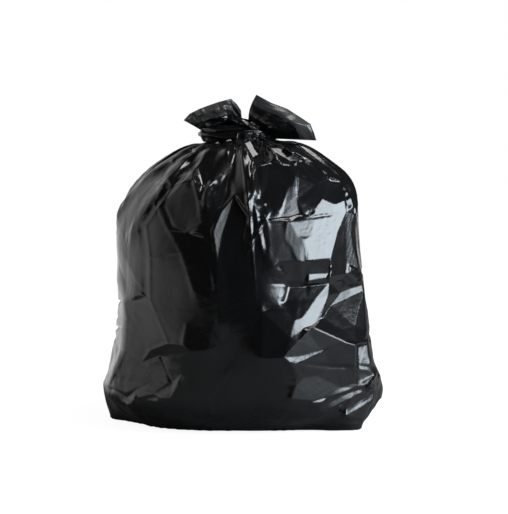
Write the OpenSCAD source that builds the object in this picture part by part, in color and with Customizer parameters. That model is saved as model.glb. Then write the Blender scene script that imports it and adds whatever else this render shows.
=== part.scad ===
// A filled refuse sack of thin black film, standing up and tied shut with its own mouth.
// The front of the sack faces -Y, its two sealed bottom corners point along X, and +Z is up.
// The origin is on the floor, under the middle of the sack's overall width and depth.
// The film is one piece: body, neck, knot and the two ends that stand out of the knot.

/* [Filled body] */
// Width of the patch that lies flat on the floor
foot_w = 400; // [300:5:470]
// Depth of the patch that lies flat on the floor
foot_d = 310; // [260:5:420]
// Width where the load bulges most, not counting the corners
belly_w = 478; // [400:2:540]
// Depth where the load bulges most
belly_d = 438; // [360:2:500]
// Height of that bulge above the floor
belly_h = 66; // [40:2:110]
// Width halfway up
waist_w = 456; // [380:2:520]
// Depth halfway up
waist_d = 424; // [340:2:500]
// Height of the halfway level above the floor
waist_h = 232; // [180:2:270]
// Width across the shoulders
shoulder_w = 428; // [340:2:500]
// Depth across the shoulders
shoulder_d = 398; // [300:2:460]
// Height of the shoulders above the floor
shoulder_h = 402; // [330:2:430]
// Width of the dome, halfway in from the shoulders to the neck
dome_w = 276; // [200:2:340]
// Depth of the dome at the same level
dome_d = 268; // [180:2:320]
// Height of the dome's halfway level above the floor
dome_h = 492; // [450:2:505]
// How far the upper body leans to the left of the foot
lean = 6; // [-20:1:20]

/* [Sealed bottom corners] */
// Distance from the middle of the foot to the point of the left corner
left_corner_reach = 262; // [250:1:290]
// Distance from the middle of the foot to the point of the right corner
right_corner_reach = 272; // [250:1:300]
// Height of the corner points above the floor
corner_h = 54; // [30:1:80]
// How far up the side the left corner's fold runs
left_corner_rise = 34; // [25:1:80]
// How far up the side the right corner's fold runs
right_corner_rise = 76; // [25:1:120]
// Turn of the left corner towards the front
left_corner_turn = 3; // [0:1:20]
// Turn of the right corner towards the front
right_corner_turn = 14; // [0:1:30]
// How much further towards the front its underside points
right_corner_twist = 26; // [0:1:30]
// How far the left corner's underside is tucked in at the floor
left_corner_tuck = 12; // [0:1:30]
// How far the right corner's underside is tucked in at the floor
right_corner_tuck = 14; // [0:1:40]

/* [Gathered neck] */
// Width of the gathered film where the knot grips it
neck_w = 100; // [90:1:110]
// Depth of the gathered film there
neck_d = 60; // [52:1:70]
// Height above the floor where the film closes in to the neck
neck_h = 524; // [512:1:560]
// How far the neck stands to the right of the foot
neck_shift = 12; // [-30:1:30]
// Number of pleats that run down from the neck
pleat_count = 22; // [12:1:24]
// How deep the pleats are at the neck
pleat_depth = 9; // [3:0.5:12]

/* [Knot] */
// Width of the turn of film that is drawn round the neck
knot_w = 118; // [90:2:150]
// Depth of that turn
knot_d = 74; // [60:2:100]
// Radius of the bunched film in that turn
knot_r = 13; // [9:0.5:17]

/* [Free ends] */
// Length of the left end along its long lower edge, from the knot to the cut edge of the film
left_end_l = 122; // [80:2:150]
// Length of the right end along its long lower edge
right_end_l = 131; // [80:2:150]
// Length of each end along its short upper edge
end_top_l = 64; // [50:2:90]
// Thickness of an end, which is two or three layers of film
end_t = 2.4; // [1.6:0.2:4]
// Number of pleats across the left end
left_end_pleats = 3; // [2:1:4]
// Number of pleats across the right end
right_end_pleats = 4; // [2:1:5]
// How far the pleats stand to the front and back at the cut edge
end_pleat_depth = 12; // [4:0.5:15]

/* [Hidden] */

film_black = [0.035, 0.035, 0.04];

columns = 88;           // points round the body
rows = 44;              // rings up the body
knot_steps = 32;        // rings along the turn that is drawn round the neck
knot_points = 12;       // points round each of them
tuck_steps = 10;        // pieces in the strand that crosses over it
end_rings = 8;          // steps along each free end
end_steps = 24;         // steps across each free end
knot_z = neck_h + knot_r * 1.3;
knot_x = neck_shift - 16;  // the turn is drawn out to the left
end_gap = 9;                // from the middle of the knot to the root of each end
gather = 14;               // how much wider the gathered film is just under the knot

// The body's outline from the floor up: half width, half depth, height and shift to the right.
levels = [
    [foot_w / 2, foot_d / 2, 0, 0],
    [belly_w / 2, belly_d / 2, belly_h, 0],
    [waist_w / 2, waist_d / 2, waist_h, -lean * 0.5],
    [shoulder_w / 2, shoulder_d / 2, shoulder_h, -lean],
    [dome_w / 2, dome_d / 2, dome_h, neck_shift * 0.5],
    [neck_w / 2 + gather, neck_d / 2 + gather, neck_h, neck_shift * 0.6],
    [neck_w / 2, neck_d / 2, knot_z, knot_x]
];

// What the load pushes out or leaves hollow: angle, height, spread across, spread up and how far.
lumps = [
    [238, 300, 70, 120, 12],
    [292, 170, 80, 90, 10],
    [318, 360, 60, 70, 11],
    [205, 380, 60, 80, 9],
    [262, 400, 30, 90, -10],
    [180, 190, 60, 40, -9],
    [338, 250, 40, 60, -7],
    [15, 330, 80, 110, 8],
    [70, 240, 90, 120, 9],
    [120, 380, 70, 70, 8],
    [95, 110, 60, 50, -8],
    [150, 230, 50, 80, -7],
    [40, 150, 50, 60, 6],
    [350, 445, 60, 40, 13]
];

// Long folds in the film: from angle and height, to angle and height, half width and how far.
folds = [
    [252, 470, 258, 250, 12, 11],
    [276, 480, 268, 330, 12, 9],
    [236, 500, 212, 330, 13, 11],
    [212, 500, 190, 350, 13, 9],
    [300, 500, 322, 350, 13, 11],
    [318, 500, 346, 360, 13, 9],
    [338, 60, 300, 150, 20, 12],
    [340, 90, 306, 225, 20, 10],
    [346, 120, 334, 300, 16, 8],
    [184, 70, 214, 170, 20, 11],
    [182, 110, 222, 270, 20, 9],
    [176, 80, 150, 190, 20, 11],
    [0, 90, 24, 210, 20, 11],
    [20, 500, 38, 340, 13, 11],
    [62, 500, 66, 300, 13, 9],
    [100, 500, 96, 320, 13, 11],
    [142, 500, 132, 340, 13, 11],
    [8, 60, 48, 120, 20, 10],
    [172, 60, 128, 110, 20, 10]
];

function smooth(x) = let (c = min(1, max(0, x))) c * c * (3 - 2 * c);
function between(x, a, b) = smooth((x - a) / (b - a));
function bell(d, s) = exp(-(d * d) / (s * s));
function turn_gap(a, b) = let (d = abs(a - b) % 360) min(d, 360 - d);

// A curve that passes through all of the points, at u from 0 to the last point's index.
function through(points, u) =
    let (
        n = len(points) - 1,
        i = min(n - 1, floor(u)),
        f = u - i,
        p = points[max(0, i - 1)],
        q = points[i],
        r = points[i + 1],
        s = points[min(n, i + 2)],
        m = (r - p) * 0.5,
        k = (s - q) * 0.5
    )
    q * (2 * f ^ 3 - 3 * f ^ 2 + 1) + m * (f ^ 3 - 2 * f ^ 2 + f)
        + r * (3 * f ^ 2 - 2 * f ^ 3) + k * (f ^ 3 - f ^ 2);

// Rings lie closer together at the foot and towards the neck, where the form turns fastest.
function level_at(i) = let (f = i / rows) (len(levels) - 1) * (f + 0.035 * sin(360 * f));

// The section is squarer at the foot than at the neck.
function squareness(z) = 2.7 - 0.7 * between(z, waist_h, dome_h);
function power(x, e) = sign(x) * pow(abs(x), e);

// The pleats are unevenly spaced, and each one reaches down by a different amount.
function pleat_turn(a) = a + 5 * sin(2 * a + 40) + 3 * sin(5 * a - 70) + 2 * sin(9 * a + 15);
function pleat_wave(a) = 1 - 4 * abs(pleat_turn(a) * pleat_count / 360 % 1 - 0.5);
function pleat_foot(a) = shoulder_h - 20 + 45 * sin(3 * a + 20) + 25 * sin(7 * a + 110);
function pleat(a, z) = pleat_depth * pleat_wave(a + 360) * between(z, pleat_foot(a), neck_h + 6) ^ 1.2
    * (0.75 + 0.25 * sin(4 * a + 30));

// How far along a fold the nearest point is, and how far from it, on the film laid flat.
function fold_height(f, a, z) =
    let (
        arc = waist_w / 2 * PI / 180,
        across = (f[2] - f[0]) * arc,
        up = f[3] - f[1],
        x = ((a - f[0] + 540) % 360 - 180) * arc,
        y = z - f[1],
        run = across * across + up * up,
        s = (x * across + y * up) / run,
        off = abs(x * up - y * across) / sqrt(run)
    )
    f[5] * bell(off, f[4]) * between(s, -0.1, 0.2) * (1 - between(s, 0.75, 1.1));

function lump_height(l, a, z) =
    l[4] * bell(turn_gap(a, l[0]) * waist_w / 2 * PI / 180, l[2]) * bell(z - l[1], l[3]);

function sum(v, i = 0) = i == len(v) ? 0 : v[i] + sum(v, i + 1);
function relief(a, z) =
    (sum([for (l = lumps) lump_height(l, a, z)]) + sum([for (f = folds) fold_height(f, a, z)]))
        * between(z, 0, 40) * (1 - between(z, dome_h - 10, neck_h + 6));

// A sealed corner: a blunt point that tapers off quickly round the body and upwards.
corner_width = 15;      // degrees from its point to where it has tapered to a third
function corner(a, z, r, at, twist, reach, tuck, rise) =
    let (under = 1 - between(z, 0, corner_h))
    max(0, reach - tuck * under - r)
        * bell(turn_gap(a, at - twist * under), corner_width)
        * (z < corner_h ? 1 : bell(z - corner_h, rise));

function body_point(a, u) =
    let (
        l = through(levels, u),
        e = 2 / squareness(l[2]),
        x = l[0] * power(cos(a), e),
        y = l[1] * power(sin(a), e),
        r = sqrt(x * x + y * y),
        out = relief(a, l[2]) + pleat(a, l[2])
            + corner(a, l[2], r, 180 + left_corner_turn, 0,
                left_corner_reach, left_corner_tuck, left_corner_rise)
            + corner(a, l[2], r, 360 - right_corner_turn, right_corner_twist,
                right_corner_reach, right_corner_tuck, right_corner_rise)
    )
    [l[3] + x * (1 + out / r), y * (1 + out / r), max(0, l[2])];

// A closed skin over rings of equal point counts, each end drawn in to one point.
module skin(rings, first, last) {
    n = len(rings[0]);
    m = len(rings);
    at = function (i, j) 1 + i * n + j % n;
    polyhedron(
        concat([first], [for (r = rings) each r], [last]),
        concat(
            [for (j = [0 : n - 1]) [0, at(0, j), at(0, j + 1)]],
            [for (i = [0 : m - 2], j = [0 : n - 1]) each [
                [at(i, j), at(i + 1, j), at(i + 1, j + 1)],
                [at(i, j), at(i + 1, j + 1), at(i, j + 1)]
            ]],
            [for (j = [0 : n - 1]) [m * n + 1, at(m - 1, j + 1), at(m - 1, j)]]
        )
    );
}

body_rings = [for (i = [0 : rows]) [for (j = [0 : columns - 1]) body_point(360 * j / columns, level_at(i))]];
function middle(v) = (min(v) + max(v)) / 2;
middle_x = middle([for (ring = body_rings, p = ring) p[0]]);
middle_y = middle([for (ring = body_rings, p = ring) p[1]]);

module body() {
    skin(body_rings, [0, 0, 0], [knot_x, 0, knot_z]);
}

// The turn of bunched film, drawn round the neck and rising a little to the right.
function turn_point(a) = [
    knot_x + knot_w / 2 * cos(a),
    knot_d / 2 * sin(a),
    knot_z + knot_r * 0.35 * sin(a + 60)
];
function bunch(a, b) = knot_r * (1 + 0.14 * sin(3 * a + 50) + 0.13 * cos(4 * b + 3 * a));

// A closed tube over rings of equal point counts, the last joined to the first.
module loop_skin(rings) {
    n = len(rings[0]);
    m = len(rings);
    at = function (i, j) (i % m) * n + j % n;
    polyhedron(
        [for (r = rings) each r],
        [for (i = [0 : m - 1], j = [0 : n - 1]) each [
            [at(i, j), at(i + 1, j + 1), at(i + 1, j)],
            [at(i, j), at(i, j + 1), at(i + 1, j + 1)]
        ]]
    );
}

module turn() {
    loop_skin([for (i = [0 : knot_steps - 1])
        let (a = 360 * i / knot_steps)
        [for (j = [0 : knot_points - 1])
            let (b = 360 * j / knot_points, r = bunch(a, b))
            turn_point(a) + r * [cos(b) * cos(a), cos(b) * sin(a), 1.15 * sin(b)]
        ]
    ]);
}

// The film that the turn has closed on.
module core() {
    translate([knot_x, 0, knot_z - 1.5 * knot_r])
        scale([knot_w / 2, knot_d / 2, 1])
            cylinder(h = 2.3 * knot_r, r = 1, $fn = knot_steps);
}

// The strand that crosses over the turn, between the two free ends.
module tuck() {
    for (i = [0 : tuck_steps - 1])
        hull()
            for (a = [i, i + 1] * 360 / tuck_steps)
                translate([neck_shift, 0, knot_z])
                    rotate([90, 0, 83])
                        translate([knot_d * 0.5 * cos(a), knot_r * 1.2 * sin(a), 0])
                            rotate([90, 0, a])
                                cylinder(h = 1, r = knot_r * (0.72 + 0.1 * sin(2 * a)), center = true, $fn = 9);
}

// A free end: a pleated fan of film that opens out from the knot to the cut edge of the mouth.
// It turns from its upper edge's angle to its lower edge's, and bow says how soon it lengthens between them.
function end_pleat(f, pleats) = end_pleat_depth * sin(360 * pleats * f) * (0.8 + 0.2 * cos(540 * f));
function end_point(s, f, up, down, length, bow, pleats, face) =
    let (
        a = up + (down - up) * f,
        reach = end_top_l + (length - end_top_l) * pow(f, bow),
        rise = end_pleat(f + 0.01, pleats) - end_pleat(f - 0.01, pleats),
        run = reach * abs(down - up) * PI / 180 * 0.02,
        half = end_t / 2 * sqrt(1 + pow(rise / run, 2))
    )
    [reach * s * cos(a), end_pleat(f, pleats) * s + face * half, reach * s * sin(a)];

module free_end(side, up, down, length, bow, drop, pleats) {
    m = end_rings;
    n = end_steps;
    front = function (i, j) i * (n + 1) + j;
    back = function (i, j) (m + 1 + i) * (n + 1) + j;
    quad = function (a, b, c, d) [[a, b, c], [a, c, d]];
    points = [for (face = [-1, 1], i = [0 : m], j = [0 : n])
        end_point(0.1 + 0.9 * i / m, j / n, up, down, length, bow, pleats, face)];
    faces = [
        for (i = [0 : m - 1], j = [0 : n - 1]) each concat(
            quad(front(i, j), front(i + 1, j), front(i + 1, j + 1), front(i, j + 1)),
            quad(back(i, j), back(i, j + 1), back(i + 1, j + 1), back(i + 1, j))),
        for (i = [0 : m - 1]) each concat(
            quad(front(i, 0), back(i, 0), back(i + 1, 0), front(i + 1, 0)),
            quad(front(i, n), front(i + 1, n), back(i + 1, n), back(i, n))),
        for (j = [0 : n - 1]) each concat(
            quad(front(0, j), front(0, j + 1), back(0, j + 1), back(0, j)),
            quad(front(m, j), back(m, j), back(m, j + 1), front(m, j + 1)))
    ];
    translate([neck_shift + side * end_gap, 0, knot_z - drop])
        polyhedron(points, down > up ? [for (f = faces) [f[0], f[2], f[1]]] : faces);
}

module tied_bag() {
    color(film_black)
        translate([-middle_x, -middle_y, 0]) {
            body();
            turn();
            core();
            tuck();
            free_end(-1, 117, 175, left_end_l - end_gap, 1.4, 0, left_end_pleats);
            free_end(1, 84, -11, right_end_l - end_gap, 2.2, 4, right_end_pleats);
        }
}

tied_bag();
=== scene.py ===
import bpy
import bmesh
import math
import numpy as np
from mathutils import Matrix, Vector
from mathutils.geometry import delaunay_2d_cdt
from mathutils.bvhtree import BVHTree


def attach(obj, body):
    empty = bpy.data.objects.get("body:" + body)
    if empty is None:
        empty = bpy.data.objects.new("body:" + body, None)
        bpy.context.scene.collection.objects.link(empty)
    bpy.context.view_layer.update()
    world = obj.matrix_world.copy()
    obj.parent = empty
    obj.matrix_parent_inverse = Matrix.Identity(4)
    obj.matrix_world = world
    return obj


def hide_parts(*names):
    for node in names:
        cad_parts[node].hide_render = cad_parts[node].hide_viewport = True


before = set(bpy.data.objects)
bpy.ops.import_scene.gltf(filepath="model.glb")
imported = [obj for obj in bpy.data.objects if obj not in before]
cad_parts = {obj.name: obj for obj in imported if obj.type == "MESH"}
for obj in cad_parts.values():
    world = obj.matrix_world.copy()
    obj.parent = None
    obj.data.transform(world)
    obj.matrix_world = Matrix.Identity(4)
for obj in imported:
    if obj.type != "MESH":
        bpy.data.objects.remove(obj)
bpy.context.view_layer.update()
scene = bpy.context.scene
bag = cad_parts["tied_bag"]

# The camera stands about where the photographer stood. Pixels are those of the photograph.
view = {
    "target": (0.022, 0.0, 0.3),
    "distance": 3.2,
    "rise": 6,            # degrees above the level
    "focal": 1712,        # in pixels
    "width": 508,
    "height": 514,
    "sensor": 36,         # in millimetres, along the frame's longer side
}
viewTilt = math.radians(view["rise"])
viewBack = np.array([0, -math.cos(viewTilt), math.sin(viewTilt)])
viewUp = np.array([0, math.sin(viewTilt), math.cos(viewTilt)])
viewPlace = np.array(view["target"]) + viewBack * view["distance"]

tiny = 1e-12              # stands in for 0 where something is divided by it


def toPixels(points):
    # where the photograph shows those places
    away = points - viewPlace
    depth = -(away @ viewBack)
    x = view["width"] / 2 + view["focal"] * away[..., 0] / depth
    y = view["height"] / 2 - view["focal"] * (away @ viewUp) / depth
    return x, y


def fromPixels(x, y, plane):
    # the places on the upright plane y = plane that the photograph shows at those pixels
    x, y = np.asarray(x, float), np.asarray(y, float)
    ray = -viewBack + np.multiply.outer((x - view["width"] / 2) / view["focal"], [1.0, 0, 0])
    ray = ray + np.multiply.outer((view["height"] / 2 - y) / view["focal"], viewUp)
    reach = (plane - viewPlace[1]) / ray[..., 1]
    return viewPlace + ray * reach[..., None]


def smooth(x, a=0.0, b=1.0):
    t = np.clip((x - a) / (b - a), 0, 1)
    return t * t * (3 - 2 * t)


# Two uneven fields, each a sum of several layers whose sizes are shares of the size asked for.
fields = {
    "layers": 6,
    "waveSizes": (0.6, 1.7),
    "waveShift": 6.28,        # the most that a wave is shifted, in radians
    "waveSum": 2.6,           # the sum of the waves is divided by this
    "creaseSizes": (0.6, 1.6),
    "creaseBend": 0.3,        # how far the creases wander
    "bendSize": 5,            # over how many times their own size
    "fadeSize": 4,            # and over how many they fade in and out
    "creaseFade": (-0.2, 0.8),
    "creaseLevel": 0.7,
}


def waves(a, b, size, seed):
    # a soft uneven field between about -1 and 1
    draw = np.random.default_rng(seed)
    a, b = np.broadcast_arrays(a, b)
    total = np.zeros(a.shape)
    for i in range(fields["layers"]):
        turn = draw.uniform(0, 2 * math.pi)
        step = size * draw.uniform(*fields["waveSizes"]) / (2 * math.pi)
        shift = draw.uniform(0, fields["waveShift"])
        total += np.sin((a * math.cos(turn) + b * math.sin(turn)) / step + shift)
    return total / fields["waveSum"]


def crumple(a, b, size, seed, stretch=1.0):
    # small straight creases in all directions, which fade in and out
    draw = np.random.default_rng(seed)
    a, b = np.broadcast_arrays(a, b)
    total = np.zeros(a.shape)
    for i in range(fields["layers"]):
        turn = draw.uniform(0, math.pi)
        step = size * draw.uniform(*fields["creaseSizes"])
        bend = fields["creaseBend"] * waves(a, b, size * fields["bendSize"], seed + 31 * i)
        wave = (a * math.cos(turn) + b * math.sin(turn) / stretch) / step + bend + draw.uniform(0, 1)
        share = smooth(waves(a, b, size * fields["fadeSize"], seed + 17 * i + 5), *fields["creaseFade"])
        total += share * (2 * np.abs(wave - np.floor(wave) - 0.5) - 0.5)
    return total * fields["creaseLevel"]


joinGap = 1e-5                # points of a finished piece closer than this become one, in metres
sameGap = 1e-6                # the same for points that were made in one place


def gridPiece(name, points, marks=None):
    # film from a grid of places [row, column]: the columns run round, and the first and last rows
    # close, each on itself or on the other
    rows, columns = points.shape[0] - 1, points.shape[1]
    bm = bmesh.new()
    bm.loops.layers.uv.new("film")
    bmesh.ops.create_grid(bm, x_segments=columns, y_segments=rows, size=0.5, calc_uvs=True)
    mesh = bpy.data.meshes.new(name)
    bm.to_mesh(mesh)
    bm.free()
    flat = np.empty(len(mesh.vertices) * 3)
    mesh.vertices.foreach_get("co", flat)
    flat = flat.reshape(-1, 3)
    column = np.rint((flat[:, 0] + 0.5) * columns).astype(int) % columns
    row = np.rint((flat[:, 1] + 0.5) * rows).astype(int)
    mesh.vertices.foreach_set("co", points[row, column].ravel())
    for title, field in (marks or {}).items():
        layer = mesh.attributes.new(title, "FLOAT", "POINT")
        layer.data.foreach_set("value", field[row, column].ravel().astype(np.float32))
    bm = bmesh.new()
    bm.from_mesh(mesh)
    bmesh.ops.remove_doubles(bm, verts=bm.verts, dist=joinGap)
    bmesh.ops.dissolve_degenerate(bm, edges=bm.edges, dist=sameGap)
    bmesh.ops.recalc_face_normals(bm, faces=bm.faces)
    bm.to_mesh(mesh)
    bm.free()
    mesh.polygons.foreach_set("use_smooth", [True] * len(mesh.polygons))
    obj = bpy.data.objects.new(name, mesh)
    scene.collection.objects.link(obj)
    print(name, len(mesh.vertices), "points")
    return obj


# The film of the body, wrapped round the load and gathered to the neck.
body = {
    "columns": 220,          # quads round the sack while it settles
    "rows": 124,             # quads from the bottom seal to the neck
    "flatRound": 1.44,       # length round the flat tube of film, in metres
    "middleHeight": 0.25,    # the height from which the load's form is read
    "lineSteps": 150,        # steps in which each line on the load is read
    "lowAngle": -75,         # degrees above that middle at which the line starts
    "topAngle": 67,          # and at which the neck's curve takes over
    "underside": 0.0015,     # places on the load below this height are left out
    "sealLift": 0.0012,      # the height of the film under the foot
    "neckHeight": 0.532,
    "neckCentre": (0.004, 0.0),
    "neckRadius": 0.045,
    "neckSteps": 12,
    "neckLean": 0.9,         # how far the neck's curve leans out at its top
    "sealHalf": 0.2,         # half the length of the bottom seal that lies under the foot
    "pleats": 21,
    "pleatDrift": [(0.16, 2, 0.4), (0.1, 3, 1), (0.05, 7, 0)],   # size, times round and start of each drift
    "pleatShift": 8,         # how far those drifts shift the pleats
    "pleatFrom": 1.02,       # pleats start where the film is this much longer than the load's round
    "pleatShare": 0.5,       # how much of that spare length goes into their depth
    "pleatDeepest": 0.016,   # in metres
    "pleatSpread": (0.75, 0.35),   # the middle share of that depth, and by how much it varies
    "pleatBeat": (5, 2, 3),  # it varies as a wave so many times round, with that start, times another
    "wrap": 1.01,            # how loosely the film goes round the load
    "slack": 0.85,           # share of the real spare film that is kept above the belly
    "slackStart": (0.3, 0.45),     # shares of the film's length over which it sets in
    "cornerSlack": 0.03,     # spare film round the two sealed corners
    "cornerEnd": (0.3, 0.5),       # shares of the film's length over which it ends
    "cornerNarrow": 6,       # the higher, the narrower the corners
    "lengthSlack": 1.014,    # spare length from the seal to the neck
    "pinHeight": 0.004,      # film below this height is held by the floor
    "pinTop": (0.985, 0.995),      # shares of the film's length over which the neck takes hold
    "fineColumns": 640,
    "fineRows": 372,
    "footRows": 0.06,        # the share of those rows that lies under the foot
    "footPart": 0.2,         # and the share of the film's length that it covers
}


def loadForm():
    # the surface of the load, to be met by rays
    bm = bmesh.new()
    bm.from_mesh(bag.data)
    bmesh.ops.remove_doubles(bm, verts=bm.verts, dist=sameGap)
    tree = BVHTree.FromBMesh(bm)
    bm.free()
    return tree


def meridian(tree, turn):
    # the line on the load from the bottom seal to the neck, at that turn round the sack
    middle = Vector((0, 0, body["middleHeight"]))
    side = Vector((math.cos(turn), math.sin(turn), 0))
    points = []
    steps = body["lineSteps"]
    for i in range(steps + 1):
        tilt = math.radians(body["lowAngle"] + (body["topAngle"] - body["lowAngle"]) * i / steps)
        hit = tree.ray_cast(middle, side * math.cos(tilt) + Vector((0, 0, math.sin(tilt))))[0]
        if hit.z > body["underside"]:
            points.append(hit)
    foot = points[0].copy()
    foot.z = body["sealLift"]
    seal = Vector((body["sealHalf"] * math.cos(turn), 0, body["sealLift"]))
    neck = Vector((*body["neckCentre"], body["neckHeight"])) + side * body["neckRadius"]
    last = points[-1]
    reach = (neck - last).length
    slope = (points[-1] - points[-4]).normalized()
    rise = []
    for i in range(1, body["neckSteps"] + 1):
        f = i / body["neckSteps"]
        a = last + slope * reach * f
        b = neck + (Vector((0, 0, -1)) + side * body["neckLean"]).normalized() * reach * (1 - f)
        rise.append(a.lerp(b, float(smooth(f))))
    return [seal, foot] + points + rise


def spaced(line, count):
    # that many steps of equal length along a line of points, and the step's length
    lengths = [0.0]
    for a, b in zip(line, line[1:]):
        lengths.append(lengths[-1] + (b - a).length)
    total = lengths[-1]
    out, j = [], 0
    for i in range(count + 1):
        s = total * i / count
        while j < len(line) - 2 and lengths[j + 1] < s:
            j += 1
        f = (s - lengths[j]) / max(tiny, lengths[j + 1] - lengths[j])
        out.append(line[j].lerp(line[j + 1], min(1.0, max(0.0, f))))
    return out, total / count


def filmGrid():
    # where the film starts, and the shape that it would have unstretched
    tree = loadForm()
    n, m = body["columns"], body["rows"]
    lines = [spaced(meridian(tree, 2 * math.pi * i / n), m) for i in range(n)]
    start = [[lines[i][0][j].copy() for i in range(n)] for j in range(m + 1)]
    steps = [lines[i][1] for i in range(n)]
    rest = [[None] * n for j in range(m + 1)]
    height = [0.0] * n
    radius = [0.0] * n
    pleatFrom = body["pleatFrom"]
    level, spread = body["pleatSpread"]
    quick, shift, slow = body["pleatBeat"]
    for j in range(m, -1, -1):
        ring = start[j]
        length = sum((ring[i] - ring[i - 1]).length for i in range(n))
        spare = max(0.0, body["flatRound"] / length - 1) if length > 0 else 0.0
        above = float(smooth(j / m, *body["slackStart"]))
        below = float(1 - smooth(j / m, *body["cornerEnd"]))
        for i in range(n):
            turn = 2 * math.pi * i / n
            corner = abs(math.cos(turn)) ** body["cornerNarrow"] * below
            k = body["wrap"] + spare * body["slack"] * above + body["cornerSlack"] * corner
            flat = Vector((ring[i].x, ring[i].y)) * k
            r = flat.length
            if j < m:
                step = steps[i] * (body["lengthSlack"] + body["cornerSlack"] * corner)
                height[i] -= math.sqrt(max(0.0, step * step - (r - radius[i]) ** 2))
            radius[i] = r
            rest[j][i] = Vector((flat.x, flat.y, height[i]))
            # the spare film starts folded into uneven pleats
            drift = sum(size * math.sin(times * turn + begin) for size, times, begin in body["pleatDrift"])
            wave = body["pleats"] * turn + drift * body["pleatShift"]
            half = math.pi * r / body["pleats"]
            depth = half * math.sqrt(max(0.0, k * k - pleatFrom * pleatFrom)) * body["pleatShare"]
            depth = min(depth, body["pleatDeepest"])
            depth *= level + spread * math.sin(quick * turn + shift) * math.cos(slow * turn)
            side = Vector((math.cos(turn), math.sin(turn), 0))
            start[j][i] = start[j][i] - side * depth * 0.5 * (1 - math.cos(wave))
    return start, rest


def makeBody():
    start, rest = filmGrid()
    n, m = body["columns"], body["rows"]
    bm = bmesh.new()
    bmesh.ops.create_grid(bm, x_segments=n, y_segments=m, size=0.5)
    restLayer = bm.verts.layers.float_vector.new("rest")
    pinLayer = bm.verts.layers.float.new("pin")
    columnLayer = bm.verts.layers.int.new("column")
    rowLayer = bm.verts.layers.int.new("row")
    for v in bm.verts:
        i = round((v.co.x + 0.5) * n)
        j = round((v.co.y + 0.5) * m)
        p = start[j][i % n]
        v[restLayer] = rest[j][i % n]
        v[columnLayer] = i % n
        v[rowLayer] = j
        v[pinLayer] = 1.0 if p.z < body["pinHeight"] else float(smooth(j / m, *body["pinTop"]))
        v.co = p
    bmesh.ops.remove_doubles(bm, verts=bm.verts, dist=sameGap)
    bmesh.ops.recalc_face_normals(bm, faces=bm.faces)
    mesh = bpy.data.meshes.new("settling_film")
    bm.to_mesh(mesh)
    bm.free()
    obj = bpy.data.objects.new("settling_film", mesh)
    scene.collection.objects.link(obj)
    print("body film:", len(mesh.vertices), "points")
    return obj


# How the film behaves while the air and the load push it out.
cloth = {
    "frames": 30,
    "quality": 4,
    "mass": 0.12,
    "tension": 40,
    "shear": 20,
    "bending": 0.01,
    "damping": 8,
    "bendingDamping": 0.5,
    "airDamping": 2,
    "pressure": 5.0,
}


def settle(obj):
    # lets the film find its folds, and gives back its points by row and column
    bpy.context.view_layer.objects.active = obj
    obj.shape_key_add(name="Basis")
    key = obj.shape_key_add(name="rest")
    for i, item in enumerate(obj.data.attributes["rest"].data):
        key.data[i].co = item.vector
    key.value = 0
    group = obj.vertex_groups.new(name="pin")
    for i, item in enumerate(obj.data.attributes["pin"].data):
        group.add([i], item.value, "REPLACE")
    modifier = obj.modifiers.new("cloth", "CLOTH")
    s = modifier.settings
    s.quality = cloth["quality"]
    s.mass = cloth["mass"]
    s.tension_stiffness = cloth["tension"]
    s.compression_stiffness = cloth["tension"]
    s.shear_stiffness = cloth["shear"]
    s.bending_stiffness = cloth["bending"]
    s.tension_damping = cloth["damping"]
    s.compression_damping = cloth["damping"]
    s.shear_damping = cloth["damping"]
    s.bending_damping = cloth["bendingDamping"]
    s.air_damping = cloth["airDamping"]
    s.vertex_group_mass = "pin"
    s.pin_stiffness = 1.0
    s.rest_shape_key = key
    s.use_pressure = True
    s.uniform_pressure_force = cloth["pressure"]
    s.effector_weights.gravity = 0
    modifier.collision_settings.use_collision = False
    for f in range(1, cloth["frames"] + 1):
        scene.frame_set(f)
    graph = bpy.context.evaluated_depsgraph_get()
    done = bpy.data.meshes.new_from_object(obj.evaluated_get(graph))
    count = len(done.vertices)
    places = np.empty(count * 3)
    done.vertices.foreach_get("co", places)
    row = np.empty(count, int)
    column = np.empty(count, int)
    done.attributes["row"].data.foreach_get("value", row)
    done.attributes["column"].data.foreach_get("value", column)
    bpy.data.objects.remove(obj)
    scene.frame_set(1)
    n, m = body["columns"], body["rows"]
    settled = np.full((m + 1, n, 3), np.nan)
    settled[row, column] = places.reshape(-1, 3)
    # the two layers share the points of the seal, so a gap there is filled from the other layer
    twin = -np.arange(n) % n
    settled[0] = np.where(np.isnan(settled[0]), settled[0][twin], settled[0])
    print("film settled")
    return settled


def curveThrough(values, place, wrap):
    # a smooth curve through the values along the first axis, read at the places given
    count = len(values)
    base = np.floor(place).astype(int)
    f = (place - base).reshape(-1, *[1] * (values.ndim - 1))
    picks = []
    for step in (-1, 0, 1, 2):
        index = (base + step) % count if wrap else np.clip(base + step, 0, count - 1)
        picks.append(values[index])
    a, b, c, d = picks
    return b + 0.5 * f * (c - a + f * (2 * a - 5 * b + 4 * c - d + f * (3 * (b - c) + d - a)))


def refine(settled):
    # the same film on a finer grid, with fewer rows where it lies under the foot
    m, n = settled.shape[0] - 1, settled.shape[1]
    share = np.linspace(0, 1, body["fineRows"] + 1)
    foot, part = body["footRows"], body["footPart"]
    rows = np.where(share < foot, share / foot * part, part + (share - foot) / (1 - foot) * (1 - part)) * m
    fine = curveThrough(settled, rows, False)
    columns = np.arange(body["fineColumns"]) * n / body["fineColumns"]
    fine = curveThrough(np.swapaxes(fine, 0, 1), columns, True)
    return np.swapaxes(fine, 0, 1)


def blurred(field, reach):
    # a field on the body's grid, softened over that many points each way
    out = field
    for step in (reach, reach // 2 + 1):
        total = sum(np.roll(out, s, axis=1) for s in range(-step, step + 1))
        out = total / (2 * step + 1)
        count = len(out)
        rows = [out[np.clip(np.arange(count) + s, 0, count - 1)] for s in range(-step, step + 1)]
        out = sum(rows) / (2 * step + 1)
    return out


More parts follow.
